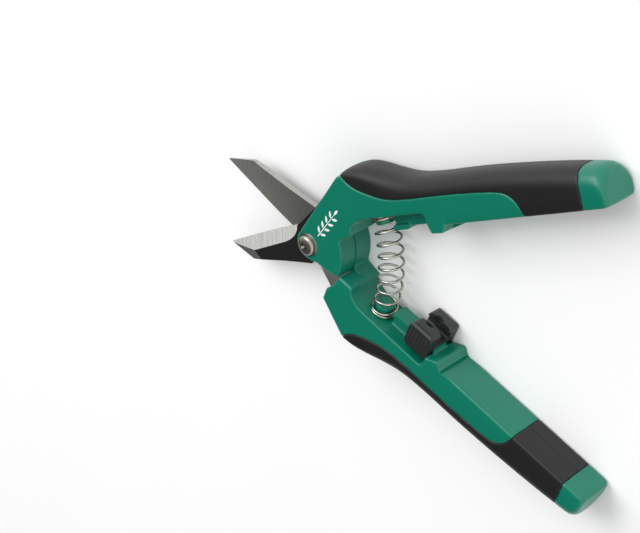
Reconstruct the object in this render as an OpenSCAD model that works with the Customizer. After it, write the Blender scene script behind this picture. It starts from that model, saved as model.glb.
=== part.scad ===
// Bypass pruner with straight snips blades, lying on its side with the jaws open.
// The origin is on the pivot axis, in the plane of the far faces that it lies on.
// +X runs from the pivot to the handles, +Y to the front handle and +Z to the near face.
// Both handles are one moulding: the rear one is the front one turned over about X.

/* [Handles] */
// Distance from the pivot to the end of a handle
handle_len = 123.4; // [118:0.2:130]
// Thickness of a handle, from its far face to its near face
body_t = 14.6; // [13.6:0.2:16]
// Angle between the two handles when the jaws are fully open
open_angle = 44.4; // [40:0.2:48]
// Radius of the rounded head round the pivot
head_r = 5.2; // [4.8:0.1:5.6]
// Slope of the straight outer line from the head up to the grip
head_slope = 33.7; // [32:0.1:35]
// Radius of the throat, the curved end of the head that faces the spring
throat_r = 15.1; // [14.6:0.1:15.3]
// Height of the handle's inner face above its axis
inner_y = 1.7; // [1.4:0.1:2]

/* [Blades] */
// Thickness of a blade
blade_t = 2.2; // [1.8:0.1:2.6]
// Length of a blade from the pivot to its tip
blade_len = 48; // [44:1:52]
// Gap between each blade and the parting plane
blade_gap = 0.03; // [0.02:0.01:0.05]

/* [Pivot] */
// Diameter of the pivot screw's shank
shank_d = 4; // [3.6:0.1:4.4]
// Diameter of the pivot screw's pan head
screw_head_d = 7; // [6.4:0.1:7.2]
// Height of the pan head above the near face
screw_head_h = 2; // [1.6:0.1:2.4]
// Radial clearance of the rear handle and blade on the shank
pivot_clear = 0.05; // [0.02:0.01:0.08]

/* [Spring] */
// Outer diameter of the return spring
spring_d = 9; // [8.6:0.1:9.2]
// Diameter of the spring wire
wire_d = 1; // [0.8:0.05:1.1]
// Turns between the closed end coils
spring_turns = 8; // [7:1:9]

/* [Lock] */
// Length of the lock slide along the handle
slide_len = 9.6; // [8.6:0.2:10]
// Travel of the lock slide towards the pivot
slide_travel = 6; // [5:0.5:6]

/* [Hidden] */

half_t = body_t / 2;
half_open = open_angle / 2;
big = 60;                       // longer than any cut needs

// Head: the half of a handle beside the blade, rounded about the pivot
head_low_y = -12.2;             // the lowest corner of the head
opposite_r = throat_r + 0.6;    // cut in the other half, where the opposite head turns
heel_room_x = 8.5;              // the head is thinner up to here, to leave room for the blade

// Full-thickness bar
bar_start = 12.5;
bar_step = 4.2;                 // spacing of its sections
end_round = 1.5;                // rounding of the far end
edge_chamfer = 0.8;             // along both edges of the inner face

// Spring seat on the inner side of each handle
seat = [31.7, 6.4];
recess_start = 23;
recess_end = 56;
spigot_r = spring_d / 2 - wire_d - 0.35;
spigot_h = 3.6;

// Rails that the lock slide runs on and hooks over
rail_start = 37.2;
rail_end = 56.2;
rail_half = 3;                  // half width of the flange
stem_half = 1.5;                // half width of the web under the flange
rail_top = 0.6;
rail_root = 9;                  // depth that the web is rooted to
flange_h = 1.7;
hook_end = 43.2;                // the front rail has its flange only up to here

// Stops that meet when the jaws are closed
lug_x = [56, 63.4];
lug_top = -0.6;

// Plastic peg through the hole in the tang
peg = [20, 9.6];
peg_r = 1.5;

// Rib of the core under the soft grip
rib_half = 4.2;
rib_cover = 3.2;                // thickness of the grip over the rib

// Pivot stack
nut_recess_r = 5;
nut_recess_h = 3.4;
nut_h = 2.3;
nut_af = 7;                     // across flats
washer_t = 0.5;
sleeve_r = shank_d / 2 + 0.75;
front_recess_r = 4.1;
close_fit = 0.02;               // radial gap between parts that don't turn on each other
cross_recess = [3.8, 0.9, 2.4]; // one slot of the cross in the screw's head

// Lock slide, in its handle's own axes
slide_x = hook_end + slide_travel / 2; // half of the travel clears the hook
ear_out = 7;
ear_in = 3.35;
ear_top = -5.9;
ear_foot = 4.4;
lip_in = 2.2;
lip_h = 1.9;
lip_slant = 0.5;
bridge_h = 1.2;
rail_clear = 0.25;

// Points on a smooth curve through pts, with n steps between each pair
function curve_point(a, b, c, d, t) =
    0.5 * (2 * b + (c - a) * t + (2 * a - 5 * b + 4 * c - d) * t * t
           + (3 * b - a - 3 * c + d) * t * t * t);
function curve(pts, n = 4) = concat(
    [for (i = [0 : len(pts) - 2], k = [0 : n - 1])
        curve_point(pts[max(i - 1, 0)], pts[i], pts[i + 1],
                    pts[min(i + 2, len(pts) - 1)], k / n)],
    [pts[len(pts) - 1]]);
function arc(centre, r, a0, a1, n = 12) =
    [for (i = [0 : n]) let (a = a0 + (a1 - a0) * i / n)
        centre + r * [cos(a), sin(a)]];

// The straight outer line touches the head's circle
function head_line_y(x) = head_r / cos(head_slope) + x * tan(head_slope);

// Height of the outer crest and of the rounding above the flat sides, along the handle
crest_points = [[25, head_line_y(25)], [29, 23.4], [34, 22.8], [42, 20.1], [50, 17.9],
                [60, 17], [76, 16.7], [92, 15.9], [108, 14.6], [handle_len, 12.8]];
round_points = [[12, 0.8], [25, 1.6], [34, 5], [44, 6.5], [60, 6.4], [92, 6], [handle_len, 4.6]];
function crest(x) = x < 25 ? head_line_y(x) : lookup(x, curve(crest_points));
function rounding(x) = lookup(x, round_points);

// One section of the handle: flat inner face, flat sides and an elliptical outer side
section_steps = 10;
function section(x, inset) = let (
        h = half_t - inset, top = crest(x) - inset, r = rounding(x), y0 = inner_y + inset)
    concat([[x, y0, -h + edge_chamfer], [x, y0 + edge_chamfer, -h]],
           [for (i = [0 : section_steps]) let (a = 180 * i / section_steps)
               [x, top - r + r * sin(a), -h * cos(a)]],
           [[x, y0 + edge_chamfer, h], [x, y0, h - edge_chamfer]]);

// Lofted bar through sections at each [x, inset]
module loft(stations) {
    rings = [for (s = stations) section(s[0], s[1])];
    n = len(rings[0]);
    m = len(rings);
    polyhedron(
        points = [for (r = rings, p = r) p],
        faces = concat(
            [[for (j = [0 : n - 1]) j]],
            [[for (j = [n - 1 : -1 : 0]) (m - 1) * n + j]],
            [for (i = [0 : m - 2], j = [0 : n - 1]) let (k = (j + 1) % n)
                each [[i * n + j, (i + 1) * n + k, i * n + k],
                      [i * n + j, (i + 1) * n + j, (i + 1) * n + k]]]));
}

module bar() {
    last = handle_len - end_round - 0.1;
    loft(concat([for (x = [bar_start : bar_step : last - 0.4]) [x, 0]],
                [[last, 0], [handle_len - end_round / 3, end_round / 3],
                 [handle_len, end_round]]));
}

// Puts a handle's own axes in place: x along the handle, y outwards, z from mid-thickness
module as_front() {
    translate([0, 0, half_t]) rotate([0, 0, half_open]) children();
}
module as_rear() {
    translate([0, 0, half_t]) rotate([0, 0, -half_open]) rotate([180, 0, 0]) children();
}

// Outline of the head, from the outer line round the pivot to the throat and its ledge
module head_outline() {
    polygon(concat(
        [[recess_start, 20], [recess_start - 2, head_line_y(recess_start - 2)]],
        arc([0, 0], head_r, 90 + head_slope, 250),
        curve([[-1.8, -5.3], [1.6, -6.7], [5.2, -9.9], [9.3, head_low_y]], 3),
        arc([0, 0], throat_r, -51, -2, 10),
        [[15.6, 0.5], [21.3, 1.6], [recess_start, 4.6]]));
}

// Outline of the tang: the heel stands outside the head, the rest is held in the plastic
tang_points = [[14, 2.5], [27, 9], [27, 15], [13, 14.8], [10.1, 16.2], [3.5, 11.2],
               [-2.2, 8.5], [-5.7, 6.8]];
// Outline of the snips blade, from the heel along the cutting edge and back along the spine
blade_points = [[-8.9, 5.7], [-20, 5.1], [-33, 3.9], [-42, 3], [-blade_len, 2.4],
                [-blade_len + 0.6, 1.7], [-37.6, -4.8], [-32.7, -5.1], [-20, -6.3],
                [-11.5, -7.4], [-7, -8], [-3.4, -6.8]];
neck_points = concat(arc([0, 0], 6.6, -112, -60, 5), [[10, -3]]);

module tang_outline() {
    polygon(concat(tang_points, [[-7.6, 2], [-6, -3]], neck_points));
}

module blade_outline() {
    polygon(concat(tang_points, blade_points, neck_points));
}

module blade() {
    bevel_low = 0.35;
    difference() {
        translate([0, 0, blade_gap]) linear_extrude(blade_t) blade_outline();
        translate([0, 0, -1]) cylinder(r = sleeve_r + pivot_clear, h = blade_t + 2, $fn = 48);
        translate([peg[0], peg[1], -1]) cylinder(r = peg_r, h = blade_t + 2, $fn = 24);
        // Ground bevel along the cutting edge, on the outer face
        translate([-8.5, 5.9, blade_gap + bevel_low])
            rotate([0, 0, 4.3]) rotate([-22, 0, 0]) translate([-big, -7, 0])
                cube([big, 20, 8]);
    }
}

// Zone of the side view that the soft grip covers
module grip_zone() {
    border = curve([[24.6, head_line_y(24.6) + 1], [25.2, 20.7], [28.8, 17], [35.7, 13.7],
                    [41.7, 11.8], [50, 11.2], [64.8, 11.1], [80.5, 10.5], [88.1, 9.7],
                    [91.6, 7.4], [93.2, 4.6], [94.2, 1]], 3);
    polygon(concat(border, [[94.2, -3], [114.9, -3], [115.4, 30], [24.6, 30]]));
}

// Rib of the hard core that the grip is moulded over
module grip_rib() {
    translate([0, 0, -rib_half]) linear_extrude(2 * rib_half) polygon(concat(
        [[20, 8], [22, 17]],
        [for (x = [30 : 8 : 110]) [x, crest(x) - rib_cover]],
        [[118, 10.4], [118, 5], [90, 5]]));
}

module grip() {
    difference() {
        intersection() {
            bar();
            translate([0, 0, -big / 2]) linear_extrude(big) grip_zone();
        }
        grip_rib();
    }
}

// Rail section across the handle: a flange on a narrower web
module rail(x0, x1, top, flanged) {
    w = flanged ? rail_half : stem_half;
    translate([x0, 0, 0]) rotate([90, 0, 90]) linear_extrude(x1 - x0)
        polygon([[top, -w], [top + flange_h, -w], [top + flange_h, -stem_half],
                 [top + rail_root, -stem_half], [top + rail_root, stem_half],
                 [top + flange_h, stem_half], [top + flange_h, w], [top, w]]);
}

// Head of one handle: thinner round the pivot, down to the parting plane beside the throat
module head() {
    difference() {
        translate([0, 0, blade_gap]) linear_extrude(half_t - blade_gap) head_outline();
        translate([heel_room_x - big, -big / 2, -1]) cube([big, big, 1 + blade_gap + blade_t]);
    }
}

// Everything that both handle mouldings share
module handle_moulding() {
    difference() {
        union() {
            difference() {
                bar();
                translate([0, 0, -big / 2]) linear_extrude(big) grip_zone();
                // Channel along the inner side that holds the spring seat and the rail
                translate([recess_start, -10, -big / 2])
                    cube([recess_end - recess_start, 10 + seat[1], big]);
                // The opposite head turns inside this round cut
                translate([0, 0, -big - blade_gap]) cylinder(r = opposite_r, h = big, $fn = 96);
            }
            grip_rib();
            head();
            // Spigot that centres the end of the spring
            translate([seat[0], seat[1] + 2, 0]) rotate([90, 0, 0])
                cylinder(r = spigot_r, h = spigot_h + 2, $fn = 48);
        }
        // Pocket that the tang is moulded into
        translate([0, 0, blade_gap]) linear_extrude(blade_t) tang_outline();
        translate([0, 0, -big]) cylinder(r = opposite_r, h = big + blade_gap, $fn = 96);
    }
    // Peg of plastic through the tang
    translate([peg[0], peg[1], 0]) cylinder(r = peg_r - close_fit, h = blade_t + 1, $fn = 24);
}

module stop_lug(crest_y) {
    translate([0, 0, -half_t]) linear_extrude(body_t)
        polygon([[lug_x[0], 4], [lug_x[0] + 0.9, crest_y], [lug_x[1] - 1.6, crest_y],
                 [lug_x[1], 4]]);
}

module front_handle_core() {
    color("#007a5e") as_front() difference() {
        union() {
            handle_moulding();
            rail(rail_start, hook_end, rail_top, true);
            rail(hook_end, recess_end, rail_top + 0.7, false);
            stop_lug(lug_top);
        }
        translate([0, 0, -1]) cylinder(r = sleeve_r, h = big, $fn = 48);
        translate([0, 0, half_t - washer_t]) cylinder(r = front_recess_r, h = big, $fn = 48);
    }
}

module rear_handle_core() {
    color("#007a5e") as_rear() difference() {
        union() {
            handle_moulding();
            rail(rail_start, rail_end, rail_top, true);
            stop_lug(lug_top + 0.6);
        }
        translate([0, 0, -1]) cylinder(r = sleeve_r + pivot_clear, h = big, $fn = 48);
        translate([0, 0, half_t - nut_recess_h]) cylinder(r = nut_recess_r, h = big, $fn = 48);
    }
}

module front_handle_grip() {
    color("#1c1c1c") as_front() grip();
}

module rear_handle_grip() {
    color("#1c1c1c") as_rear() grip();
}

module front_blade() {
    color("#3a3c3e") as_front() blade();
}

module rear_blade() {
    color("#c9cccf") as_rear() blade();
}

// Sleeve that both blades turn on, clamped between the washers
module pivot_sleeve() {
    color("#d0d2d4") translate([0, 0, nut_recess_h]) difference() {
        cylinder(r = sleeve_r - close_fit, h = body_t - nut_recess_h - washer_t, $fn = 48);
        translate([0, 0, -1]) cylinder(r = shank_d / 2 + close_fit, h = body_t, $fn = 48);
    }
}

module washer(r) {
    difference() {
        cylinder(r = r, h = washer_t, $fn = 48);
        translate([0, 0, -1]) cylinder(r = shank_d / 2 + close_fit, h = 2 + washer_t, $fn = 48);
    }
}

module front_washer() {
    color("#d0d2d4") translate([0, 0, body_t - washer_t]) washer(front_recess_r - 0.1);
}

module rear_washer() {
    color("#d0d2d4") translate([0, 0, nut_recess_h - washer_t]) washer(nut_recess_r - 0.3);
}

// Pan head with a cross recess, and a plain shank down through the nut
module pivot_screw() {
    color("#d6d8da") difference() {
        union() {
            translate([0, 0, nut_recess_h - washer_t - nut_h - 0.2])
                cylinder(d = shank_d, h = body_t - nut_recess_h + washer_t + nut_h + 0.4, $fn = 48);
            translate([0, 0, body_t]) rotate_extrude($fn = 64) polygon(concat(
                [[0, 0], [screw_head_d / 2, 0]],
                arc([screw_head_d / 2 - 1.4, 0.6], 1.4, 0, 90, 6), [[0, screw_head_h]]));
        }
        for (a = [0, 90])
            translate([0, 0, body_t + screw_head_h]) rotate([0, 0, a])
                cube(cross_recess, center = true);
    }
}

module pivot_nut() {
    color("#c4c6c8") translate([0, 0, nut_recess_h - washer_t - nut_h]) difference() {
        cylinder(d = nut_af / cos(30), h = nut_h, $fn = 6);
        translate([0, 0, -1]) cylinder(r = shank_d / 2 + close_fit, h = nut_h + 2, $fn = 48);
    }
}

// Centre line of the spring: an arc that leaves both handles square to their inner faces
seat_gap = wire_d / 2 + 0.1;
seat_end = [seat[0] * cos(half_open) - (seat[1] - seat_gap) * sin(half_open),
            seat[0] * sin(half_open) + (seat[1] - seat_gap) * cos(half_open)];
spring_arc_r = seat_end[1] / sin(half_open);
spring_arc_c = [seat_end[0] - spring_arc_r * cos(half_open), 0];
closed_turns = 1.2;

// Share of the wire's length along the centre line after t turns, tight at both ends
spring_total = spring_turns + 2 * closed_turns;
closed_rise = closed_turns * wire_d * 1.04 / (2 * seat_end[1]);
function spring_rise(t) = t < closed_turns ? closed_rise * t / closed_turns
    : t > spring_total - closed_turns ? 1 - closed_rise * (spring_total - t) / closed_turns
    : closed_rise + (1 - 2 * closed_rise) * (t - closed_turns) / spring_turns;
function spring_frame(t) = let (a = half_open * (1 - 2 * spring_rise(t)),
        out = [cos(a), sin(a), 0])
    let (turn = 360 * t, side = out * cos(turn) + [0, 0, 1] * sin(turn))
    [[spring_arc_c[0], 0, half_t] + out * spring_arc_r + side * (spring_d - wire_d) / 2,
     side, [-sin(a), cos(a), 0]];

module return_spring() {
    sides = 6;
    steps = 14;
    rings = [for (i = [0 : floor(spring_total * steps)]) let (f = spring_frame(i / steps))
        [for (j = [0 : sides - 1]) let (b = 360 * j / sides)
            f[0] + wire_d / 2 * (cos(b) * f[1] + sin(b) * f[2])]];
    m = len(rings);
    color("#dfe1e3") polyhedron(
        points = [for (r = rings, p = r) p],
        faces = concat(
            [[for (j = [0 : sides - 1]) j]],
            [[for (j = [sides - 1 : -1 : 0]) (m - 1) * sides + j]],
            [for (i = [0 : m - 2], j = [0 : sides - 1]) let (k = (j + 1) % sides)
                each [[i * sides + j, (i + 1) * sides + k, i * sides + k],
                      [i * sides + j, (i + 1) * sides + j, (i + 1) * sides + k]]]));
}

// Two ribbed ears joined by a bridge over the rear rail, with lips that hook the front rail
module lock_slide() {
    grooves = 5;
    groove_pitch = 1.5;
    groove = [0.6, 6, 0.7];
    bridge_y = rail_top - rail_clear;
    foot_in = stem_half + rail_clear;
    flange_foot = rail_top + flange_h + rail_clear;
    ear = [[bridge_y - bridge_h, ear_in], [ear_top + lip_h + lip_slant, ear_in],
           [ear_top + lip_h, lip_in], [ear_top, lip_in], [ear_top, ear_out - 1.2],
           [-4, ear_out], [2, ear_out], [ear_foot, ear_out - 0.6], [ear_foot, foot_in],
           [flange_foot, foot_in], [flange_foot, ear_in], [bridge_y, ear_in]];
    color("#26282a") as_rear() difference() {
        translate([slide_x, 0, 0]) rotate([90, 0, 90]) linear_extrude(slide_len)
            polygon(concat(ear, [for (i = [len(ear) - 1 : -1 : 0]) [ear[i][0], -ear[i][1]]]));
        // Fine grooves across the outer faces for the thumb
        for (s = [-1, 1], i = [0 : grooves - 1])
            translate([slide_x + groove_pitch * (i + 1), -4, s * (ear_out + 0.15) - groove[2] / 2])
                cube(groove);
    }
}

front_handle_core();
front_handle_grip();
rear_handle_core();
rear_handle_grip();
front_blade();
rear_blade();
pivot_screw();
pivot_sleeve();
front_washer();
rear_washer();
pivot_nut();
return_spring();
lock_slide();
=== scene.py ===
from math import acos, cos, degrees, pi, radians, sin, tan

import bmesh
import bpy
from mathutils import Matrix, Vector


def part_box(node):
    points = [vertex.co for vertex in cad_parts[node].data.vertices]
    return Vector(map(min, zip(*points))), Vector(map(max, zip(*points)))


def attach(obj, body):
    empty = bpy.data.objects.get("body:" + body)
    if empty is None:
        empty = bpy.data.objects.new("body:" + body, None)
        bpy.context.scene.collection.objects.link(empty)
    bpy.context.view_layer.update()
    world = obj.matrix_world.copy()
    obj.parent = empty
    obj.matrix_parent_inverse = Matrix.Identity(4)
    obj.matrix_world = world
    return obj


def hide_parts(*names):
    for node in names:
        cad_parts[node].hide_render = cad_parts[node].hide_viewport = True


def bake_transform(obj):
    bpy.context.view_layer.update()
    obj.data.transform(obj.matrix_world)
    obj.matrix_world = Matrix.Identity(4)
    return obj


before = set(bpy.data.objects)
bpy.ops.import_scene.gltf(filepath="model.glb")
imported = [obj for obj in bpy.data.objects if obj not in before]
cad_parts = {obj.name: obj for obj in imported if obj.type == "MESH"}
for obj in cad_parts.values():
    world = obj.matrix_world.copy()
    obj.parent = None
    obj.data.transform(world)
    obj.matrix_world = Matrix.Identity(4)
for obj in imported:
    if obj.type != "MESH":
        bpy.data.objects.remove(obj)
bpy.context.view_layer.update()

# ---------------------------------------------------------------------------
# Table and light. The snips lie open on a plain pale table, on the far faces
# of both handles. Soft light comes from above, a small panel beyond the jaws
# lights the ground bevels, and that side is dim, so near faces keep their colour.
# ---------------------------------------------------------------------------
scene = bpy.context.scene
scene.view_settings.view_transform = "Standard"

VIEW_FORWARD = Vector((-0.6236, -0.4582, -0.6334))
VIEW_RIGHT = Vector((0.7189, -0.0176, -0.6949))
VIEW_DISTANCE = 0.476
PIVOT_IN_VIEW = (0.00105, 0.0097)      # the pivot's place right of and above the view's centre
LENS = 79.95
SENSOR = 36
TABLE_REACH = 3

half_t = (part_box("front_handle_core")[1].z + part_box("front_handle_core")[0].z) / 2
view_back = -VIEW_FORWARD.normalized()
view_right = (VIEW_RIGHT - VIEW_RIGHT.dot(view_back) * view_back).normalized()
view_up = view_back.cross(view_right)
camera_data = bpy.data.cameras.new("view")
camera_data.lens = LENS
camera_data.sensor_width = SENSOR
camera = bpy.data.objects.new("view", camera_data)
scene.collection.objects.link(camera)
camera_place = (Vector((0, 0, half_t)) + view_back * VIEW_DISTANCE
                - view_right * PIVOT_IN_VIEW[0] - view_up * PIVOT_IN_VIEW[1])
camera.matrix_world = Matrix((
    (view_right.x, view_up.x, view_back.x, camera_place.x),
    (view_right.y, view_up.y, view_back.y, camera_place.y),
    (view_right.z, view_up.z, view_back.z, camera_place.z),
    (0, 0, 0, 1)))
scene.camera = camera


def node_material(name):
    """An empty node material with its output and one Principled shader."""
    material = bpy.data.materials.new(name)
    material.use_nodes = True
    tree = material.node_tree
    tree.nodes.clear()
    output = tree.nodes.new("ShaderNodeOutputMaterial")
    shader = tree.nodes.new("ShaderNodeBsdfPrincipled")
    tree.links.new(shader.outputs["BSDF"], output.inputs["Surface"])
    return material, tree, shader


def add_node(tree, kind, links=(), **values):
    """Adds a node, sets its properties and inputs by name, and links (output, input) pairs."""
    node = tree.nodes.new(kind)
    for key, value in values.items():
        if hasattr(node, key):
            setattr(node, key, value)
        else:
            node.inputs[key.replace("_", " ")].default_value = value
    for source, target in links:
        tree.links.new(source, node.inputs[target])
    return node


table_material, tree, shader = node_material("pale_table")
coords = add_node(tree, "ShaderNodeTexCoord")
mottle = add_node(tree, "ShaderNodeTexNoise", [(coords.outputs["Object"], "Vector")],
                  Scale=9.0, Detail=3.0)
tone = add_node(tree, "ShaderNodeMapRange", [(mottle.outputs["Fac"], "Value")],
                To_Min=0.91, To_Max=0.94)
tree.links.new(tone.outputs["Result"], shader.inputs["Base Color"])
shader.inputs["Roughness"].default_value = 0.7
shader.inputs["Specular IOR Level"].default_value = 0.2

bm = bmesh.new()
bmesh.ops.create_grid(bm, x_segments=1, y_segments=1, size=TABLE_REACH)
table_mesh = bpy.data.meshes.new("table")
bm.to_mesh(table_mesh)
bm.free()
table = bpy.data.objects.new("table", table_mesh)
table.data.materials.append(table_material)
scene.collection.objects.link(table)


def soft_light(name, place, aim, size, power):
    """A square lamp at a place, turned to face another."""
    data = bpy.data.lights.new(name, "AREA")
    data.shape = "SQUARE"
    data.size = size
    data.energy = power
    lamp = bpy.data.objects.new(name, data)
    lamp.location = place
    lamp.rotation_euler = (Vector(aim) - Vector(place)).to_track_quat("-Z", "Y").to_euler()
    scene.collection.objects.link(lamp)


soft_light("key", (-0.45, 0.75, 1.0), (0.03, 0, 0), 1.0, 10)
soft_light("jaw_side_panel", (-0.78, -0.03, 0.5), (-0.02, 0, 0.01), 0.3, 0.22)

# The studio round the table is bright, but dim beyond the jaws.
DIM_SIDE = (-0.62, -0.46, 0.63)
world = bpy.data.worlds.new("studio")
world.use_nodes = True
scene.world = world
tree = world.node_tree
background = tree.nodes["Background"]
coords = add_node(tree, "ShaderNodeTexCoord")
toward_jaws = add_node(tree, "ShaderNodeVectorMath", [(coords.outputs["Generated"], 0)],
                       operation="DOT_PRODUCT")
toward_jaws.inputs[1].default_value = DIM_SIDE
glow = add_node(tree, "ShaderNodeMapRange", [(toward_jaws.outputs["Value"], "Value")],
                From_Min=0.3, From_Max=0.85, To_Min=1.0, To_Max=0.08)
tree.links.new(glow.outputs["Result"], background.inputs["Color"])
background.inputs["Strength"].default_value = 1.22

# ---------------------------------------------------------------------------
# Handle cores. Each is one green glass-filled nylon moulding: a half-thickness
# head round the pivot, a channel with the spring's spigot and the lock's rail,
# a stop, and a bar with a squared-off end piece. The rear one is turned over,
# and has a rail, stop, bore and nut pocket of its own.
# ---------------------------------------------------------------------------
MM = 0.001
HALF_OPEN = radians(22.2)              # each handle's angle from the middle of the jaws
HANDLE_LEN = 123.4
HALF = half_t / MM                     # half the handle's thickness
PAST = 20                              # well past either side of a handle
HEAD_R = 5.2
HEAD_SLOPE = radians(33.7)
THROAT_R = 15.1
INNER_Y = 1.7
BLADE_T = 2.2
BLADE_GAP = 0.03
OUTER = BLADE_GAP + BLADE_T            # the outer face of a blade, from the parting plane
PARTING_GAP = 0.15                     # between each head and the parting plane
SEAT_X, SEAT_Y = 31.7, 6.4
SPIGOT_R = 3.15
LUG_BORE_R = 2.75
SLEEVE_BORE_R = 2.8
NUT_POCKET_R, NUT_POCKET_DEPTH = 5, 3.4
WASHER_SEAT_R, WASHER_T = 4.1, 0.5
RAIL_START, RAIL_TOP, RAIL_HALF, RAIL_LIP = 37.2, 0.6, 3, 1.7
RAIL_WEB_HALF = 1.5
STATION_STEP = 1.5                     # between the sections that the bar is drawn through
VOXEL = 0.32
BULGE = 2.5                            # squareness of the outer side, 2 for an ellipse

front_axes = (Matrix.Translation((0, 0, half_t)) @ Matrix.Rotation(HALF_OPEN, 4, "Z")
              @ Matrix.Scale(MM, 4))
rear_axes = (Matrix.Translation((0, 0, half_t)) @ Matrix.Rotation(-HALF_OPEN, 4, "Z")
             @ Matrix.Rotation(pi, 4, "X") @ Matrix.Scale(MM, 4))


def arc(cx, cy, radius, start, end, steps=10):
    """Points on an arc, with its angles in degrees."""
    return [(cx + radius * cos(radians(start + (end - start) * i / steps)),
             cy + radius * sin(radians(start + (end - start) * i / steps)))
            for i in range(steps + 1)]


def smooth_line(points, steps=6):
    """A smooth curve through the points."""
    last = len(points) - 1
    line = []
    for i in range(last):
        a, b = points[max(i - 1, 0)], points[i]
        c, d = points[i + 1], points[min(i + 2, last)]
        for k in range(steps):
            t = k / steps
            line.append(tuple(
                0.5 * (2 * q + (r - p) * t + (2 * p - 5 * q + 4 * r - s) * t * t
                       + (3 * q - p - 3 * r + s) * t ** 3)
                for p, q, r, s in zip(a, b, c, d)))
    return line + [tuple(points[last])]


def height_on(line, x):
    """Height of a line of (x, y) points at x."""
    for (x0, y0), (x1, y1) in zip(line, line[1:]):
        if x <= x1:
            return y0 + (y1 - y0) * max(x - x0, 0) / (x1 - x0)
    return line[-1][1]


def head_line(x):
    """The straight outer line that touches the round of the head."""
    return HEAD_R / cos(HEAD_SLOPE) + x * tan(HEAD_SLOPE)


CREST = smooth_line([(25, head_line(25) - 0.05), (29, 23.2), (34, 22.5), (42, 19.8), (50, 17.6),
                     (60, 16.75), (76, 16.5), (92, 15.7), (108, 14.45), (HANDLE_LEN, 12.7)])
ROUNDING = [(12, 0.8), (25, 1.8), (34, 5), (44, 6), (60, 6), (92, 6), (HANDLE_LEN, 6.6)]


def crest(x):
    """Height of the bar's outer side at x."""
    return head_line(x) - 0.05 if x < 25 else height_on(CREST, x)


def bar_section(x, inset, drop):
    """One section of the bar: crowned inner face, drafted sides and a bulging outer side."""
    half = HALF - inset
    low, top = INNER_Y + inset, crest(x) - drop
    rise = height_on(ROUNDING, x)
    side = [(half - 1.1, low), (half - 0.75, low + 0.08), (half - 0.42, low + 0.38),
            (half - 0.24, low + 0.9), (half - 0.02, low + 3.2), (half, low + 3.8)]
    outer = []
    for i in range(33):
        across, up = cos(pi * i / 32), sin(pi * i / 32)
        outer.append((half * (1 if across > 0 else -1) * abs(across) ** (2 / BULGE),
                      top - rise + rise * abs(up) ** (2 / BULGE)))
    inner = [(-(half - 1.1) / 2, low - 0.12), (0, low - 0.16), ((half - 1.1) / 2, low - 0.12)]
    loop = inner + side + outer + [(-z, y) for z, y in reversed(side)]
    return [(x, y, z) for z, y in loop]


def bar_shape():
    """The whole bar, drawn out from one end face to the next."""
    tip = HANDLE_LEN - 0.3
    ends = [(tip - 2.6, 0, 0.15), (tip - 1.7, 0.03, 0.55), (tip - 0.9, 0.15, 1.15),
            (tip - 0.4, 0.38, 1.75), (tip - 0.1, 0.7, 2.4), (tip, 1.05, 3)]
    stations = [(12.5 + STATION_STEP * i, 0, 0) for i in range(72)] + ends
    bm = bmesh.new()
    face = bm.faces.new([bm.verts.new(p) for p in bar_section(*stations[0])])
    for station in stations[1:]:
        face = bmesh.ops.extrude_discrete_faces(bm, faces=[face])["faces"][0]
        for vert, place in zip(face.verts, bar_section(*station)):
            vert.co = place
    bmesh.ops.holes_fill(bm, edges=[e for e in bm.edges if e.is_boundary])
    bmesh.ops.recalc_face_normals(bm, faces=bm.faces)
    return bm


def slab(outline, low, high):
    """A flat outline drawn up from one height to another."""
    bm = bmesh.new()
    face = bm.faces.new([bm.verts.new((x, y, low)) for x, y in outline])
    grown = bmesh.ops.extrude_face_region(bm, geom=[face])
    bmesh.ops.translate(bm, vec=(0, 0, high - low),
                        verts=[g for g in grown["geom"] if isinstance(g, bmesh.types.BMVert)])
    bmesh.ops.recalc_face_normals(bm, faces=bm.faces)
    return bm


def rod(radius, low, high, segments=64):
    """A round bar along Z."""
    bm = bmesh.new()
    bmesh.ops.create_cone(bm, cap_ends=True, segments=segments, radius1=radius, radius2=radius,
                          depth=high - low, matrix=Matrix.Translation((0, 0, (low + high) / 2)))
    return bm


def turned(bm, matrix):
    """The shape, moved and turned."""
    bmesh.ops.transform(bm, matrix=matrix, verts=bm.verts)
    return bm


def piece_from(name, *shapes):
    """One object that holds every shape given."""
    mesh = bpy.data.meshes.new(name)
    whole = bmesh.new()
    for shape in shapes:
        part = bpy.data.meshes.new("part")
        shape.to_mesh(part)
        shape.free()
        whole.from_mesh(part)
        bpy.data.meshes.remove(part)
    whole.to_mesh(mesh)
    whole.free()
    piece = bpy.data.objects.new(name, mesh)
    scene.collection.objects.link(piece)
    return piece


def settle(piece):
    """Makes the piece's modifiers part of its mesh."""
    graph = bpy.context.evaluated_depsgraph_get()
    mesh = bpy.data.meshes.new_from_object(piece.evaluated_get(graph))
    piece.modifiers.clear()
    old = piece.data
    piece.data = mesh
    bpy.data.meshes.remove(old)


def carve(piece, operation, *shapes):
    """Cuts shapes out of the piece, or keeps only what lies inside them."""
    for shape in shapes:
        tool = piece_from("tool", shape)
        cut = piece.modifiers.new("cut", "BOOLEAN")
        cut.operation = operation
        cut.solver = "EXACT"
        cut.object = tool
        settle(piece)
        bpy.data.objects.remove(tool)


def absorb(piece, *others):
    """Joins other objects into the piece."""
    whole = bmesh.new()
    for part in (piece, *others):
        whole.from_mesh(part.data)
    whole.to_mesh(piece.data)
    whole.free()
    for part in others:
        bpy.data.objects.remove(part)


def mould(piece, voxel, relax):
    """Fuses the joined solids into one skin with the small radii of a moulding."""
    skin = piece.modifiers.new("skin", "REMESH")
    skin.mode = "VOXEL"
    skin.voxel_size = voxel
    skin.adaptivity = 0
    settle(piece)
    ease = piece.modifiers.new("ease", "SMOOTH")
    ease.factor = 0.5
    ease.iterations = relax
    settle(piece)


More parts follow.
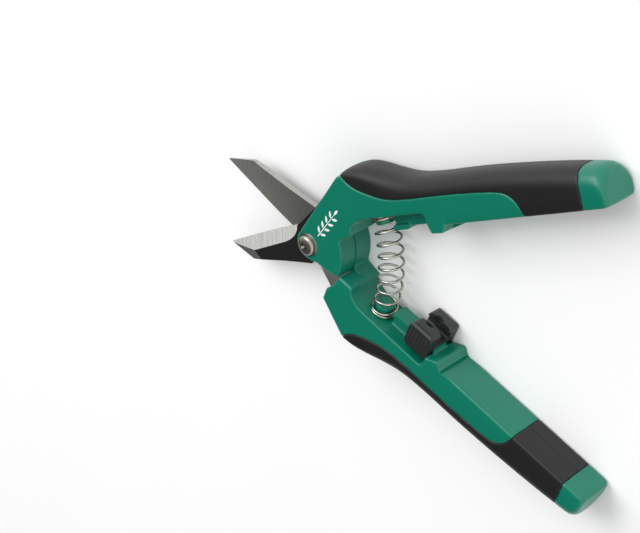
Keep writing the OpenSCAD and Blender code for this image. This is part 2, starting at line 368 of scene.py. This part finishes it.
def crisp(piece, angle):
    """Merges stray doubles, and keeps edges sharp where faces meet at more than the angle."""
    bm = bmesh.new()
    bm.from_mesh(piece.data)
    bmesh.ops.remove_doubles(bm, verts=bm.verts, dist=0.0005)
    for face in bm.faces:
        face.smooth = True
    for edge in bm.edges:
        edge.smooth = edge.is_manifold and edge.calc_face_angle() < radians(angle)
    bm.to_mesh(piece.data)
    bm.free()


def finish_piece(piece, axes, materials, body, slot, *nodes, angle=40):
    """Puts the piece in its place in the object and hands it to its body."""
    crisp(piece, angle)
    piece.data.transform(axes)
    for material in materials:
        piece.data.materials.append(material)
    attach(piece, body)
    if nodes:
        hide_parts(*nodes)


def grip_zone():
    """Side view of the stretch that the soft grip covers."""
    border = smooth_line([(24.4, head_line(24.4) + 1.5), (25.1, 20.9), (28.8, 17), (35.7, 13.7),
                          (41.7, 11.9), (50, 11.2), (64.8, 11.1), (80.5, 10.5), (88.1, 9.6),
                          (91.6, 7.4), (93.2, 4.6), (94.2, 1)], 5)
    return border + [(94.2, -3), (114.7, -3), (114.8, 2), (115.4, 7), (115.2, 12), (114.6, 30),
                     (24.4, 30)]


def grip_rib():
    """Rib of nylon that the soft grip is moulded over."""
    top = [(30 + 8 * i, crest(30 + 8 * i) - 3.4) for i in range(11)]
    return slab([(20, 8), (22, 17)] + top + [(118, 10), (118, 5), (90, 5)], -4.2, 4.2)


def head_outline():
    """Side view of the head, from the bar round the pivot to the throat and the channel."""
    return ([(25, 20), (23, head_line(23) - 0.3)]
            + arc(0, 0, HEAD_R, 90 + degrees(HEAD_SLOPE), 250, 20)
            + smooth_line([(-1.8, -5.3), (1.6, -6.7), (5.2, -9.7), (9.3, -12.1)])[1:]
            + arc(0, 0, THROAT_R, -51, -2, 20)
            + [(15.6, 0.5), (18.5, 1.05), (21.3, 1.6), (22.9, 4.6), (25, 5.6)])


TANG = [(14, 2.5), (27, 9), (27, 15), (13, 14.8), (10.1, 15.2), (3.5, 11.2), (-2.2, 8.5),
        (-5.7, 6.8)]
NECK = arc(0, 0, 6.6, -112, -60, 8) + [(10, -3)]


def rail(start, end, top, half_width):
    """Raised strip along the channel, its flange undercut on both sides."""
    flange = slab([(start, top), (end, top), (end, top + RAIL_LIP), (start, top + RAIL_LIP)],
                  -half_width, half_width)
    web = slab([(start, top), (end, top), (end, top + 9), (start, top + 9)],
               -RAIL_WEB_HALF, RAIL_WEB_HALF)
    return flange, web


def handle_core(name, rail_shapes, stop, stop_scoop):
    """The moulding, with its own rail and closing stop."""
    core = piece_from(name, bar_shape())
    ramp = smooth_line([(21.3, 1.6), (22.9, 4.6), (25.8, 5.9), (28.5, SEAT_Y)])
    channel = [(21, -9)] + ramp + [(54.8, SEAT_Y - 0.1), (55.8, 5.4), (56, 3), (56, -9)]
    carve(core, "DIFFERENCE", slab(grip_zone(), -PAST, PAST), slab(channel, -PAST, PAST),
          rod(THROAT_R + 0.6, -PAST, -PARTING_GAP, 128))
    head = piece_from("head", slab(head_outline(), PARTING_GAP, HALF))
    carve(head, "DIFFERENCE", slab([(-30, -30), (8.5, -30), (8.5, 30), (-30, 30)], -1, OUTER))
    stand = Matrix.Translation((SEAT_X, SEAT_Y, 0)) @ Matrix.Rotation(pi / 2, 4, "X")
    spigot = turned(rod(SPIGOT_R, -3.2, 3.6), stand)
    shapes = [spigot, grip_rib(), slab(stop, -HALF, HALF), *rail_shapes]
    absorb(core, head, *[piece_from("part", shape) for shape in shapes])
    mould(core, VOXEL, 4)
    tang_pocket = slab(TANG + [(-7.6, 2), (-6, -3)] + NECK, -0.3, OUTER)
    carve(core, "DIFFERENCE", tang_pocket, *stop_scoop)
    return core


lug = [(55.9, 7), (56, 2.6), (56.9, -0.35), (61.6, -0.6), (63.2, 2.4), (64, 7)]
lug_web = slab([(58, 4), (58, -0.5), (62, -0.5), (71.5, 1.75), (71.5, 4)], -3, 3)
front_core = handle_core(
    "front_handle_core_moulding",
    [*rail(RAIL_START, 43.2, RAIL_TOP, RAIL_HALF), *rail(43, 57, 1.3, RAIL_WEB_HALF), lug_web],
    lug, [])
bump = [(55.9, 7), (56.2, 2.4), (58.2, 1.1), (60.3, 0.05), (61, 0.1), (62.9, 2.6), (64, 7)]
scoop = slab([(62.8, 2.7), (66, 2.3), (71, 1.6), (71, -3), (62.8, -3)], -PAST, PAST)
rear_core = handle_core(
    "rear_handle_core_moulding", rail(RAIL_START, 56.2, RAIL_TOP, RAIL_HALF), bump, [scoop])

carve(front_core, "DIFFERENCE", rod(LUG_BORE_R, -PAST, PAST),
      rod(WASHER_SEAT_R, HALF - WASHER_T, PAST))
carve(rear_core, "DIFFERENCE", rod(SLEEVE_BORE_R, -PAST, PAST),
      rod(NUT_POCKET_R, HALF - NUT_POCKET_DEPTH, PAST))


def moulding_group():
    """Fine moulded surface: slow colour drift, faint grain and edges rubbed a little paler."""
    group = bpy.data.node_groups.new("moulded_surface", "ShaderNodeTree")
    face = group.interface
    for label, kind, value in (("Grain Scale", "NodeSocketFloat", 900.0),
                               ("Grain Depth", "NodeSocketFloat", 0.1),
                               ("Drift", "NodeSocketFloat", 0.06),
                               ("Edge Wear", "NodeSocketFloat", 0.2)):
        socket = face.new_socket(label, in_out="INPUT", socket_type=kind)
        socket.default_value = value
    face.new_socket("Tone", in_out="OUTPUT", socket_type="NodeSocketFloat")
    face.new_socket("Edge", in_out="OUTPUT", socket_type="NodeSocketFloat")
    face.new_socket("Normal", in_out="OUTPUT", socket_type="NodeSocketVector")
    given = group.nodes.new("NodeGroupInput")
    result = group.nodes.new("NodeGroupOutput")
    coords = add_node(group, "ShaderNodeTexCoord")
    drift = add_node(group, "ShaderNodeTexNoise", [(coords.outputs["Object"], "Vector")],
                     Scale=60.0, Detail=3.0)
    centred = add_node(group, "ShaderNodeMath", [(drift.outputs["Fac"], 0)], operation="SUBTRACT")
    centred.inputs[1].default_value = 0.5
    tone = add_node(group, "ShaderNodeMath",
                    [(centred.outputs[0], 0), (given.outputs["Drift"], 1)],
                    operation="MULTIPLY_ADD")
    tone.inputs[2].default_value = 1.0
    geometry = add_node(group, "ShaderNodeNewGeometry")
    ridge = add_node(group, "ShaderNodeMapRange", [(geometry.outputs["Pointiness"], "Value")],
                     From_Min=0.53, From_Max=0.62)
    patches = add_node(group, "ShaderNodeTexNoise", [(coords.outputs["Object"], "Vector")],
                       Scale=350.0, Detail=4.0)
    patchy = add_node(group, "ShaderNodeMapRange", [(patches.outputs["Fac"], "Value")],
                      From_Min=0.42, From_Max=0.62)
    edge = add_node(group, "ShaderNodeMath",
                    [(ridge.outputs["Result"], 0), (patchy.outputs["Result"], 1)],
                    operation="MULTIPLY")
    worn = add_node(group, "ShaderNodeMath",
                    [(edge.outputs[0], 0), (given.outputs["Edge Wear"], 1)], operation="MULTIPLY")
    grain = add_node(group, "ShaderNodeTexNoise",
                     [(coords.outputs["Object"], "Vector"), (given.outputs["Grain Scale"], "Scale")],
                     Detail=2.0)
    bump_node = add_node(group, "ShaderNodeBump",
                         [(grain.outputs["Fac"], "Height"), (given.outputs["Grain Depth"], "Strength")],
                         Distance=0.00006)
    group.links.new(tone.outputs[0], result.inputs["Tone"])
    group.links.new(worn.outputs[0], result.inputs["Edge"])
    group.links.new(bump_node.outputs["Normal"], result.inputs["Normal"])
    return group


MOULDED = moulding_group()


def moulded_material(name, colour, worn_colour, roughness, grain_scale, grain_depth, wear,
                     gloss=0.5):
    """A moulded plastic or rubber, toned and worn by the moulded surface group."""
    material, tree, shader = node_material(name)
    surface = add_node(tree, "ShaderNodeGroup", node_tree=MOULDED)
    surface.inputs["Grain Scale"].default_value = grain_scale
    surface.inputs["Grain Depth"].default_value = grain_depth
    surface.inputs["Edge Wear"].default_value = wear
    base = add_node(tree, "ShaderNodeMix", [(surface.outputs["Edge"], "Factor")], data_type="RGBA")
    base.inputs[6].default_value = (*colour, 1)
    base.inputs[7].default_value = (*worn_colour, 1)
    toned = add_node(tree, "ShaderNodeVectorMath",
                     [(base.outputs[2], 0), (surface.outputs["Tone"], "Scale")], operation="SCALE")
    tree.links.new(toned.outputs[0], shader.inputs["Base Color"])
    tree.links.new(surface.outputs["Normal"], shader.inputs["Normal"])
    spread = add_node(tree, "ShaderNodeMapRange", [(surface.outputs["Tone"], "Value")],
                      From_Min=0.97, From_Max=1.03, To_Min=roughness - 0.03, To_Max=roughness + 0.03)
    tree.links.new(spread.outputs["Result"], shader.inputs["Roughness"])
    shader.inputs["Specular IOR Level"].default_value = gloss
    return material


GREEN_NYLON = moulded_material(
    "green_nylon", (0.0, 0.165, 0.104), (0.05, 0.3, 0.21), 0.3, 700.0, 0.12, 0.25)

finish_piece(front_core, front_axes, [GREEN_NYLON], "front_half", "green_nylon",
             "front_handle_core")
finish_piece(rear_core, rear_axes, [GREEN_NYLON], "rear_half", "green_nylon",
             "rear_handle_core")

# ---------------------------------------------------------------------------
# Soft grips. A black soft-touch elastomer is moulded over the outer side of
# each core and wraps right round it near the end. It is flush with the nylon,
# and the small dimple and line on its inner face are left by the tool.
# ---------------------------------------------------------------------------
GATE_X, GATE_Z, GATE_R = 97.6, 1.2, 0.9
LINE_Z, LINE_R = 0.9, 0.16             # the fine line where the two halves of the tool met
SOFT_GRIP = moulded_material(
    "soft_grip", (0.008, 0.008, 0.0078), (0.04, 0.04, 0.04), 0.46, 1500.0, 0.3, 0.15, gloss=0.42)

for name, axes, body, node in (
        ("front_handle_grip_overmould", front_axes, "front_half", "front_handle_grip"),
        ("rear_handle_grip_overmould", rear_axes, "rear_half", "rear_handle_grip")):
    grip = piece_from(name, bar_shape())
    carve(grip, "INTERSECT", slab(grip_zone(), -PAST, PAST))
    carve(grip, "DIFFERENCE", grip_rib())
    mould(grip, VOXEL, 4)
    gate = bmesh.new()
    bmesh.ops.create_icosphere(gate, subdivisions=3, radius=GATE_R)
    tool_line = turned(rod(LINE_R, 94.8, 114.2, 6), Matrix.Rotation(pi / 2, 4, "Y"))
    carve(grip, "DIFFERENCE",
          turned(gate, Matrix.Translation((GATE_X, INNER_Y - 0.75, GATE_Z))),
          turned(tool_line, Matrix.Translation((0, INNER_Y - 0.18, LINE_Z))))
    finish_piece(grip, axes, [SOFT_GRIP], body, "soft_grip", node)

# ---------------------------------------------------------------------------
# Blades. Both are the same stamping of hardened stainless steel, moulded into
# the heads by the tang. The outer face is ground to a bevel and a short spear
# point, and what is left of it carries a black coating.
# ---------------------------------------------------------------------------
BLADE = [(-8.9, 5.7), (-20, 5.1), (-33, 3.9), (-42, 3), (-47.7, 2.4), (-47.9, 2.2), (-47.3, 1.7),
         (-37.6, -4.8), (-32.7, -5.1), (-20, -6.3), (-11.5, -7.4), (-7, -8), (-3.4, -6.8)]
BEVEL_FOOT = [(-60, -4.16), (-35.5, -1.5), (-17.1, 0.5), (-14.2, 1.1), (-11.4, 2.3), (-9.3, 4.1),
              (-8.1, 6.4)]
BEVEL_SLOPE = 0.40
POINT_FOOT = (-32.7, -5.0)
POINT_SLOPE = 0.2
EDGE_BREAK = 0.07                      # the small radius left along every edge


def ground_away(outline, height):
    """The steel that grinding takes off: all above a sloping plane, inside an outline."""
    bm = slab(outline, 0, 6)
    for vert in bm.verts:
        if vert.co.z < 3:
            vert.co.z = height(vert.co.x, vert.co.y)
    return bm


def bevel_height(x, y):
    """Height of the long cutting bevel, which starts at the coating's edge."""
    return OUTER - BEVEL_SLOPE * (y - (0.5 + (x + 17.1) * 0.1087))


point_across = Vector((-0.853, -0.522))


def point_height(x, y):
    """Height of the short facet at the point."""
    return OUTER - POINT_SLOPE * (Vector((x, y)) - Vector(POINT_FOOT)).dot(point_across)


def brushed_group():
    """Grinding lines across a blade, as a tone and a normal."""
    group = bpy.data.node_groups.new("grinding_lines", "ShaderNodeTree")
    face = group.interface
    face.new_socket("Angle", in_out="INPUT", socket_type="NodeSocketVector")
    face.new_socket("Depth", in_out="INPUT", socket_type="NodeSocketFloat").default_value = 0.2
    face.new_socket("Tone", in_out="OUTPUT", socket_type="NodeSocketFloat")
    face.new_socket("Normal", in_out="OUTPUT", socket_type="NodeSocketVector")
    given = group.nodes.new("NodeGroupInput")
    result = group.nodes.new("NodeGroupOutput")
    coords = add_node(group, "ShaderNodeTexCoord")
    turn = add_node(group, "ShaderNodeMapping",
                    [(coords.outputs["Object"], "Vector"), (given.outputs["Angle"], "Rotation")])
    stretch = add_node(group, "ShaderNodeMapping", [(turn.outputs["Vector"], "Vector")])
    stretch.inputs["Scale"].default_value = (4600, 140, 140)
    lines = add_node(group, "ShaderNodeTexNoise", [(stretch.outputs["Vector"], "Vector")],
                     Scale=1.0, Detail=3.0)
    tone = add_node(group, "ShaderNodeMapRange", [(lines.outputs["Fac"], "Value")],
                    From_Min=0.3, From_Max=0.7, To_Min=0.76, To_Max=1.12)
    bump_node = add_node(group, "ShaderNodeBump",
                         [(lines.outputs["Fac"], "Height"), (given.outputs["Depth"], "Strength")],
                         Distance=0.00002)
    group.links.new(tone.outputs["Result"], result.inputs["Tone"])
    group.links.new(bump_node.outputs["Normal"], result.inputs["Normal"])
    return group


GRINDING = brushed_group()


def steel_material(name, colour, roughness, angle, depth):
    """Bare steel with its grinding lines at right angles to a blade at this angle."""
    material, tree, shader = node_material(name)
    surface = add_node(tree, "ShaderNodeGroup", node_tree=GRINDING)
    surface.inputs["Angle"].default_value = (0, 0, angle)
    surface.inputs["Depth"].default_value = depth
    paint = add_node(tree, "ShaderNodeRGB")
    paint.outputs[0].default_value = (*colour, 1)
    toned = add_node(tree, "ShaderNodeVectorMath",
                     [(paint.outputs[0], 0), (surface.outputs["Tone"], "Scale")], operation="SCALE")
    tree.links.new(toned.outputs[0], shader.inputs["Base Color"])
    tree.links.new(surface.outputs["Normal"], shader.inputs["Normal"])
    shader.inputs["Metallic"].default_value = 1.0
    shader.inputs["Roughness"].default_value = roughness
    shader.inputs["Anisotropic"].default_value = 0.5
    return material


COATING = moulded_material(
    "black_blade_coating", (0.006, 0.007, 0.006), (0.2, 0.2, 0.2), 0.4, 2500.0, 0.25, 0.0)

for name, axes, body, node, angle in (
        ("front_blade_stamping", front_axes, "front_half", "front_blade", -HALF_OPEN),
        ("rear_blade_stamping", rear_axes, "rear_half", "rear_blade", HALF_OPEN)):
    blade = piece_from(name, slab(TANG + BLADE + NECK, BLADE_GAP, OUTER))
    bevel_zone = BEVEL_FOOT + [(-8.1, 20), (-60, 20)]
    point_zone = [POINT_FOOT, (-36.6, 1.37), (-60, 20), (-60, -20), (-23.5, -20)]
    tang_hole = turned(rod(1.5, -5, 5, 32), Matrix.Translation((20, 9.6, 0)))
    carve(blade, "DIFFERENCE", ground_away(bevel_zone, bevel_height),
          ground_away(point_zone, point_height), rod(SLEEVE_BORE_R, -5, 5), tang_hole)
    soften = blade.modifiers.new("soften", "BEVEL")
    soften.width = EDGE_BREAK
    soften.segments = 2
    soften.limit_method = "ANGLE"
    soften.angle_limit = radians(35)
    settle(blade)
    satin = steel_material(name + "_satin", (0.5, 0.51, 0.47), 0.42, angle, 0.5)
    ground = steel_material(name + "_ground", (0.86, 0.86, 0.83), 0.26, angle, 0.25)
    finishes = [satin, ground, COATING]
    for polygon in blade.data.polygons:
        if polygon.normal.z > 0.999 and polygon.center.z > OUTER - 0.05:
            polygon.material_index = finishes.index(COATING)
        elif polygon.normal.z > 0.5:
            polygon.material_index = finishes.index(ground)
    finish_piece(blade, axes, finishes, body, "blade_steel", node, angle=8)

# ---------------------------------------------------------------------------
# Pivot. A zinc-plated pan-head screw with a cross recess goes through a washer,
# a steel sleeve that both blades turn on, a second washer and a hexagon nut in
# the round pocket of the rear head.
# ---------------------------------------------------------------------------
FULL = 2 * HALF
SHANK_FOOT = 0.5
SHANK_R = 2.0
SHANK_BORE_R = 2.05
THREAD_PITCH, THREAD_DEPTH = 0.35, 0.15
HEAD_OUT = 3.48
HEAD_TOP = 1.98
RECESS_LEN, RECESS_WIDTH, RECESS_TURN = 4.5, 0.95, 35
NUT_FOOT, NUT_HALF_FLAT = 0.6, 3.5
NUT_TOP = NUT_POCKET_DEPTH - WASHER_T


def lathe(profile, segments=64):
    """A solid turned about Z from a profile of (radius, height) points."""
    bm = bmesh.new()
    verts = [bm.verts.new((r, 0, z)) for r, z in profile]
    edges = [bm.edges.new(pair) for pair in zip(verts, verts[1:])]
    bmesh.ops.spin(bm, geom=verts + edges, cent=(0, 0, 0), axis=(0, 0, 1), angle=2 * pi,
                   steps=segments, use_merge=True)
    bmesh.ops.remove_doubles(bm, verts=bm.verts, dist=1e-4)
    bmesh.ops.recalc_face_normals(bm, faces=bm.faces)
    return bm


def plated_material(name, colour, roughness):
    """Bright plated steel with fine handling marks."""
    material, tree, shader = node_material(name)
    coords = add_node(tree, "ShaderNodeTexCoord")
    marks = add_node(tree, "ShaderNodeTexNoise", [(coords.outputs["Object"], "Vector")],
                     Scale=1800.0, Detail=5.0)
    tone = add_node(tree, "ShaderNodeMix", [(marks.outputs["Fac"], "Factor")], data_type="RGBA")
    tone.inputs[6].default_value = (*[c * 0.8 for c in colour], 1)
    tone.inputs[7].default_value = (*colour, 1)
    gloss = add_node(tree, "ShaderNodeMapRange", [(marks.outputs["Fac"], "Value")],
                     To_Min=roughness * 0.7, To_Max=roughness * 1.4)
    relief = add_node(tree, "ShaderNodeBump", [(marks.outputs["Fac"], "Height")],
                      Strength=0.08, Distance=0.00003)
    tree.links.new(tone.outputs[2], shader.inputs["Base Color"])
    tree.links.new(gloss.outputs["Result"], shader.inputs["Roughness"])
    tree.links.new(relief.outputs["Normal"], shader.inputs["Normal"])
    shader.inputs["Metallic"].default_value = 1.0
    return material


ZINC = plated_material("zinc_plate", (0.42, 0.39, 0.34), 0.3)
upright = Matrix.Scale(MM, 4)

thread = []
for i in range(9):
    height = SHANK_FOOT + 0.5 + THREAD_PITCH * i
    thread += [(SHANK_R - 0.02, height), (SHANK_R - 0.02 - THREAD_DEPTH, height + 0.17)]
screw_profile = ([(0, SHANK_FOOT), (SHANK_R - 0.5, SHANK_FOOT)] + thread
                 + [(SHANK_R - 0.02, 4.2), (SHANK_R - 0.02, FULL), (HEAD_OUT - 0.08, FULL),
                    (HEAD_OUT, FULL + 0.1)]
                 + [(r, FULL + z) for r, z in arc(HEAD_OUT - 1.1, 0.6, 1.1, 0, 66, 8)]
                 + [(1.6, FULL + HEAD_TOP - 0.08), (0, FULL + HEAD_TOP)])
screw = piece_from("pivot_screw_pan_head", lathe(screw_profile))
for quarter in range(2):
    wing = bmesh.new()
    bmesh.ops.create_cube(wing, size=1, matrix=Matrix.Diagonal((RECESS_LEN, RECESS_WIDTH, 2, 1)))
    for vert in wing.verts:
        if vert.co.z < 0:
            vert.co.x *= 0.4
            vert.co.y *= 0.55
    turned(wing, Matrix.Translation((0, 0, FULL + HEAD_TOP)) @ Matrix.Rotation(
        radians(RECESS_TURN + 90 * quarter), 4, "Z"))
    carve(screw, "DIFFERENCE", wing)
finish_piece(screw, upright, [ZINC], "front_half", "bright_steel", "pivot_screw")


def washer_profile(inner, outer, low, high):
    """Section of a ring with its sharp edges just broken."""
    edge = 0.08
    return [(inner, low), (outer - edge, low), (outer, low + edge), (outer, high - edge),
            (outer - edge, high), (inner + edge, high), (inner, high - edge), (inner, low)]


for name, inner, outer, low, high, node in (
        ("washer_under_head", SHANK_BORE_R, 3.98, FULL - WASHER_T, FULL, "front_washer"),
        ("washer_under_nut", SHANK_BORE_R, 4.68, NUT_TOP, NUT_POCKET_DEPTH, "rear_washer"),
        ("sleeve_for_blades", 2.02, 2.73, NUT_POCKET_DEPTH, FULL - WASHER_T, "pivot_sleeve")):
    ring = piece_from(name, lathe(washer_profile(inner, outer, low, high)))
    finish_piece(ring, upright, [ZINC], "front_half", "bright_steel", node)

nut = piece_from("hexagon_nut", rod(NUT_HALF_FLAT / cos(pi / 6), NUT_FOOT, NUT_TOP, 6))
crown = lathe([(0, NUT_FOOT), (3.55, NUT_FOOT), (4.1, NUT_FOOT + 0.35), (4.1, NUT_TOP - 0.35),
               (3.55, NUT_TOP), (0, NUT_TOP)])
carve(nut, "INTERSECT", crown)
carve(nut, "DIFFERENCE", rod(2.02, 0, 4))
finish_piece(nut, upright, [ZINC], "front_half", "bright_steel", "pivot_nut")

# ---------------------------------------------------------------------------
# Polished spring wire is wound with closed ends, which sit over
# the two spigots. The wire bows out towards the handles, because it leaves
# both channels square. The real spring shortens as the handles close; this one is built only as it
# stands open.
# ---------------------------------------------------------------------------
WIRE_R = 0.42
SPRING_R = 4.05
OPEN_TURNS = 8
CLOSED_TURNS = 1.2
RING_POINTS = 12                       # round the wire
STEPS_A_TURN = 40
seat_lift = WIRE_R + 0.12
seat = Vector((SEAT_X * cos(HALF_OPEN) - (SEAT_Y - seat_lift) * sin(HALF_OPEN),
               SEAT_X * sin(HALF_OPEN) + (SEAT_Y - seat_lift) * cos(HALF_OPEN), 0))
bow_r = seat.y / sin(HALF_OPEN)
bow_x = seat.x - bow_r * cos(HALF_OPEN)
turns = OPEN_TURNS + 2 * CLOSED_TURNS
closed_share = CLOSED_TURNS * WIRE_R * 2.06 / (2 * seat.y)


def along_spring(turn):
    """Share of the spring's height after some turns, slow where the ends are closed."""
    if turn < CLOSED_TURNS:
        return closed_share * turn / CLOSED_TURNS
    if turn > turns - CLOSED_TURNS:
        return 1 - closed_share * (turns - turn) / CLOSED_TURNS
    return closed_share + (1 - 2 * closed_share) * (turn - CLOSED_TURNS) / OPEN_TURNS


def wire_ring(turn):
    """Points round the wire after some turns."""
    bow = HALF_OPEN * (1 - 2 * along_spring(turn))
    outward = Vector((cos(bow), sin(bow), 0))
    side = outward * cos(2 * pi * turn) + Vector((0, 0, 1)) * sin(2 * pi * turn)
    centre = Vector((bow_x, 0, HALF)) + outward * bow_r + side * SPRING_R
    rise = Vector((-sin(bow), cos(bow), 0))
    return [centre + WIRE_R * (cos(a) * side + sin(a) * rise)
            for a in (2 * pi * k / RING_POINTS for k in range(RING_POINTS))]


bm = bmesh.new()
face = bm.faces.new([bm.verts.new(p) for p in wire_ring(0)])
for i in range(1, int(turns * STEPS_A_TURN) + 1):
    face = bmesh.ops.extrude_discrete_faces(bm, faces=[face])["faces"][0]
    for vert, place in zip(face.verts, wire_ring(i / STEPS_A_TURN)):
        vert.co = place
bmesh.ops.holes_fill(bm, edges=[e for e in bm.edges if e.is_boundary])
bmesh.ops.recalc_face_normals(bm, faces=bm.faces)
spring = piece_from("return_spring_coil", bm)
spring.data.transform(upright)
for polygon in spring.data.polygons:
    polygon.use_smooth = True
spring.data.materials.append(plated_material("spring_wire", (0.52, 0.5, 0.45), 0.2))
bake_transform(spring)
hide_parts("return_spring")

# ---------------------------------------------------------------------------
# Lock slide. One black acetal moulding straddles the rear rail: two ears with
# fine thumb grooves, a bridge over the rail, and inward lips that hook under
# the front rail when the closed handles are locked.
# ---------------------------------------------------------------------------
SLIDE_START, SLIDE_LEN = 46.2, 9.6
EAR_IN, EAR_OUT = 3.35, 7.0
EAR_TOP, EAR_FOOT = -5.9, 4.4
LIP_IN = 2.2
NOTCH_X, NOTCH_R = 50.4, 1.75
GROOVE_R, GROOVE_STEP = 0.42, 1.34
LOCK_VOXEL = 0.14

ear_profile = ([(EAR_TOP, LIP_IN)] + arc(EAR_TOP + 1.3, EAR_OUT - 1.3, 1.3, 180, 90, 5)
               + [(-1, EAR_OUT - 0.12), (2, EAR_OUT - 0.2), (EAR_FOOT, EAR_OUT - 0.9),
                  (EAR_FOOT, 1.75), (2.55, 1.75), (2.55, EAR_IN), (0.35, EAR_IN),
                  (0.35, -0.1), (-0.85, -0.1), (-0.85, 2.6)]
               + arc(-1.6, 2.6, 0.75, 0, 90, 4)[1:] + [(-3.5, EAR_IN), (-4, LIP_IN)])
slide_end = SLIDE_START + SLIDE_LEN
side_view = (arc(SLIDE_START + 2.1, EAR_TOP + 2.1, 2.1, 180, 270, 8)
             + arc(slide_end - 1.7, EAR_TOP + 1.7, 1.7, 270, 360, 8)
             + arc(slide_end - 1.3, EAR_FOOT - 1.3, 1.3, 0, 90, 6)
             + arc(SLIDE_START + 1.6, EAR_FOOT - 1.6, 1.6, 90, 180, 6))
ears = []
for side in (1, -1):
    ear = slab(ear_profile, 0, SLIDE_LEN)
    turned(ear, Matrix(((0, 0, 1, SLIDE_START), (1, 0, 0, 0), (0, side, 0, 0), (0, 0, 0, 1))))
    bmesh.ops.recalc_face_normals(ear, faces=ear.faces)
    ears.append(piece_from("lock_slide_moulding", ear))
    notch = turned(rod(NOTCH_R, -9, -2.6, 32), Matrix.Rotation(-pi / 2, 4, "X"))
    carve(ears[-1], "INTERSECT", slab(side_view, -9, 9))
    carve(ears[-1], "DIFFERENCE", turned(notch, Matrix.Translation((NOTCH_X, 0, side * NOTCH_R))))
lock, far_ear = ears
absorb(lock, far_ear)
mould(lock, LOCK_VOXEL, 3)
groove_shapes = []
for side in (1, -1):
    for i in range(6):
        groove = turned(rod(GROOVE_R, -3.8, 3.8, 10), Matrix.Rotation(pi / 2, 4, "X"))
        place = (SLIDE_START + 1.45 + GROOVE_STEP * i, -0.6, side * (EAR_OUT + 0.08))
        groove_shapes.append(turned(groove, Matrix.Translation(place)))
carve(lock, "DIFFERENCE", *groove_shapes)
BLACK_ACETAL = moulded_material(
    "black_acetal", (0.016, 0.017, 0.018), (0.12, 0.12, 0.125), 0.4, 1300.0, 0.35, 0.5)
finish_piece(lock, rear_axes, [BLACK_ACETAL], "lock", "black_plastic", "lock_slide")

# ---------------------------------------------------------------------------
# Pad print on the front head. It is a plain sprig in white ink, a thin film
# that stands a little proud of the nylon.
# ---------------------------------------------------------------------------
LEAF_LEN, LEAF_WIDTH, LEAF_SPREAD = 2.6, 0.95, 0.75
STEM_LEN, LEAF_STEP = 12.6, 2.9


def leaf(cx, cy, length, width, lean):
    """Outline of a pointed leaf, two arcs that meet at its ends."""
    radius = (length * length + width * width) / (4 * width)
    reach = degrees(acos((radius - width / 2) / radius)) if width < length else 90
    low = arc(0, radius - width / 2, radius, -90 - reach, -90 + reach, 10)
    high = arc(0, -(radius - width / 2), radius, 90 - reach, 90 + reach, 10)
    return [(cx + x * cos(lean) - y * sin(lean), cy + x * sin(lean) + y * cos(lean))
            for x, y in low[:-1] + high[:-1]]


print_low, print_high = HALF - 0.05, HALF + 0.03
lean = radians(31)
along = Vector((cos(lean), sin(lean)))
across = Vector((-sin(lean), cos(lean)))
stem_start = Vector((6.2, 2.6))
stem_end = stem_start + along * STEM_LEN
stem = [stem_start - across * 0.18, stem_end - across * 0.1, stem_end + across * 0.1,
        stem_start + across * 0.18]
print_shapes = [slab([tuple(p) for p in stem], print_low, print_high)]
for i in range(4):
    for side in (1, -1):
        centre = stem_start + along * (2.4 + LEAF_STEP * i) + across * side * 1.2
        outline = leaf(centre.x, centre.y, LEAF_LEN, LEAF_WIDTH, lean + side * LEAF_SPREAD)
        print_shapes.append(slab(outline, print_low, print_high))
tip = stem_end + along * 1.2
print_shapes.append(slab(leaf(tip.x, tip.y, LEAF_LEN, LEAF_WIDTH, lean), print_low, print_high))
sprig = piece_from("sprig_pad_print", *print_shapes)
WHITE_INK = moulded_material(
    "white_ink", (0.8, 0.81, 0.8), (0.9, 0.9, 0.9), 0.45, 3000.0, 0.2, 0.0)
finish_piece(sprig, front_axes, [WHITE_INK], "front_half", "green_nylon")
